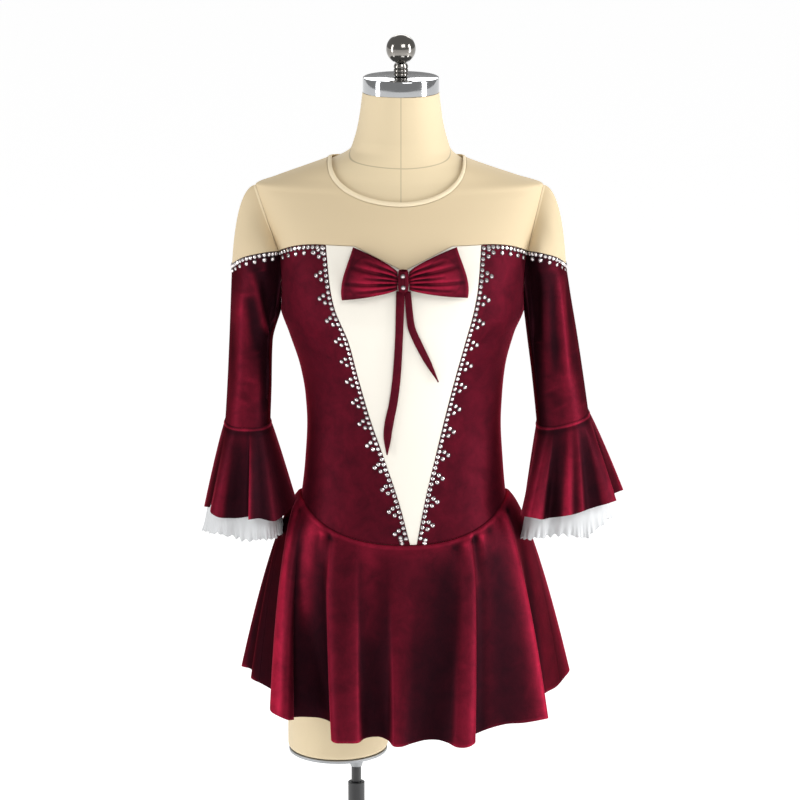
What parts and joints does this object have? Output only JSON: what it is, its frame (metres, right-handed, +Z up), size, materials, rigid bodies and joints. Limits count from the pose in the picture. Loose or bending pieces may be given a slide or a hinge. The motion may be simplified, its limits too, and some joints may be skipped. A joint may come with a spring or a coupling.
{
  "type": "figure skating dress on a dress form",
  "caption": "Burgundy velvet figure skating dress with sheer yoke, ivory V panel, bow and bell cuffs, on a limbless dress form and stand.",
  "frame": {"origin": "centre of the stand base's underside, on the floor under the pole", "axes": "+Z up, -Y towards the dress's front, +X towards the viewer's right"},
  "size_m": [0.5655, 0.44, 1.565],
  "materials": {
    "velvet": "burgundy stretch velvet with a short shining pile",
    "ivory_knit": "matt ivory stretch knit",
    "nude_net": "sheer nude stretch net",
    "white_chiffon": "white crinkled chiffon with a lettuce hem",
    "form_cover": "beige linen over a moulded shell",
    "chrome": "polished",
    "grey_steel": "satin grey",
    "black_steel": "black semi-gloss",
    "crystal": "cut clear glass with silver foil behind"
  },
  "bodies": {
    "root": {"yoke_front": "nude_net", "yoke_back": "nude_net", "neck_binding": "nude_net", "sleeve_cap_left": "nude_net", "sleeve_cap_right": "nude_net", "bodice_front_left": "velvet", "bodice_front_right": "velvet", "bodice_back": "velvet", "v_panel": "ivory_knit", "sleeve_left": "velvet", "sleeve_right": "velvet", "cuff_flounce_left": "velvet", "cuff_flounce_right": "velvet", "cuff_frill_left": "white_chiffon", "cuff_frill_right": "white_chiffon", "skirt_front": "velvet", "skirt_back": "velvet", "brief": "velvet", "bow_loop_left": "velvet", "bow_loop_right": "velvet", "bow_knot": "velvet", "bow_tail_left": "velvet", "bow_tail_right": "velvet", "form_torso": "form_cover", "form_bottom_plate": "grey_steel", "neck_cap": "chrome", "finial_stem": "chrome", "finial_ball": "chrome", "stand_base": "black_steel", "stand_hub": "black_steel", "stand_tube": "black_steel", "stand_rod": "black_steel", "stand_socket": "grey_steel"}
  },
  "joints": []
}
